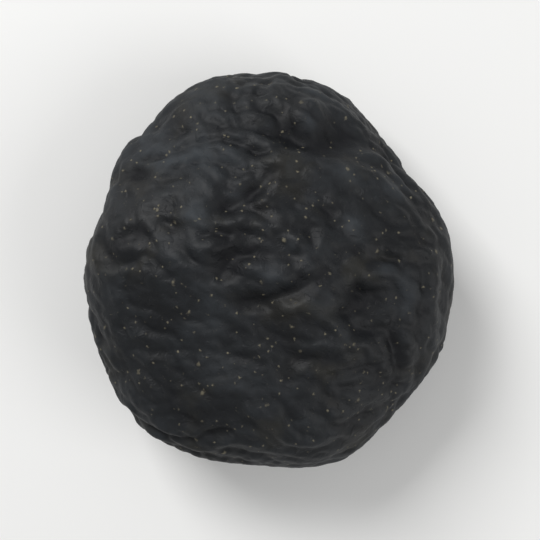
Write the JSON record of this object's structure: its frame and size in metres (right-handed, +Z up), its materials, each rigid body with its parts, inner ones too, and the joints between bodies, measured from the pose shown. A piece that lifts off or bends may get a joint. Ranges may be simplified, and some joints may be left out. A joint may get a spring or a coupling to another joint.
{
  "type": "prune",
  "caption": "Half-dried prune with its stone in: a flattened oval fruit with wrinkled near-black skin, a puckered stalk end and a small flat spot to lie on.",
  "frame": {"origin": "on the surface that the fruit rests on, under the middle of its box", "axes": "+Z up out of the broad face, +Y towards the stalk end, +X to the right seen from above with the stalk end up"},
  "size_m": [0.0364, 0.0394, 0.019],
  "materials": {
    "prune_skin": "satin bluish black skin, duller where its bloom is left, finely wrinkled, with small tan specks"
  },
  "bodies": {
    "root": {"prune": "prune_skin"}
  },
  "joints": []
}
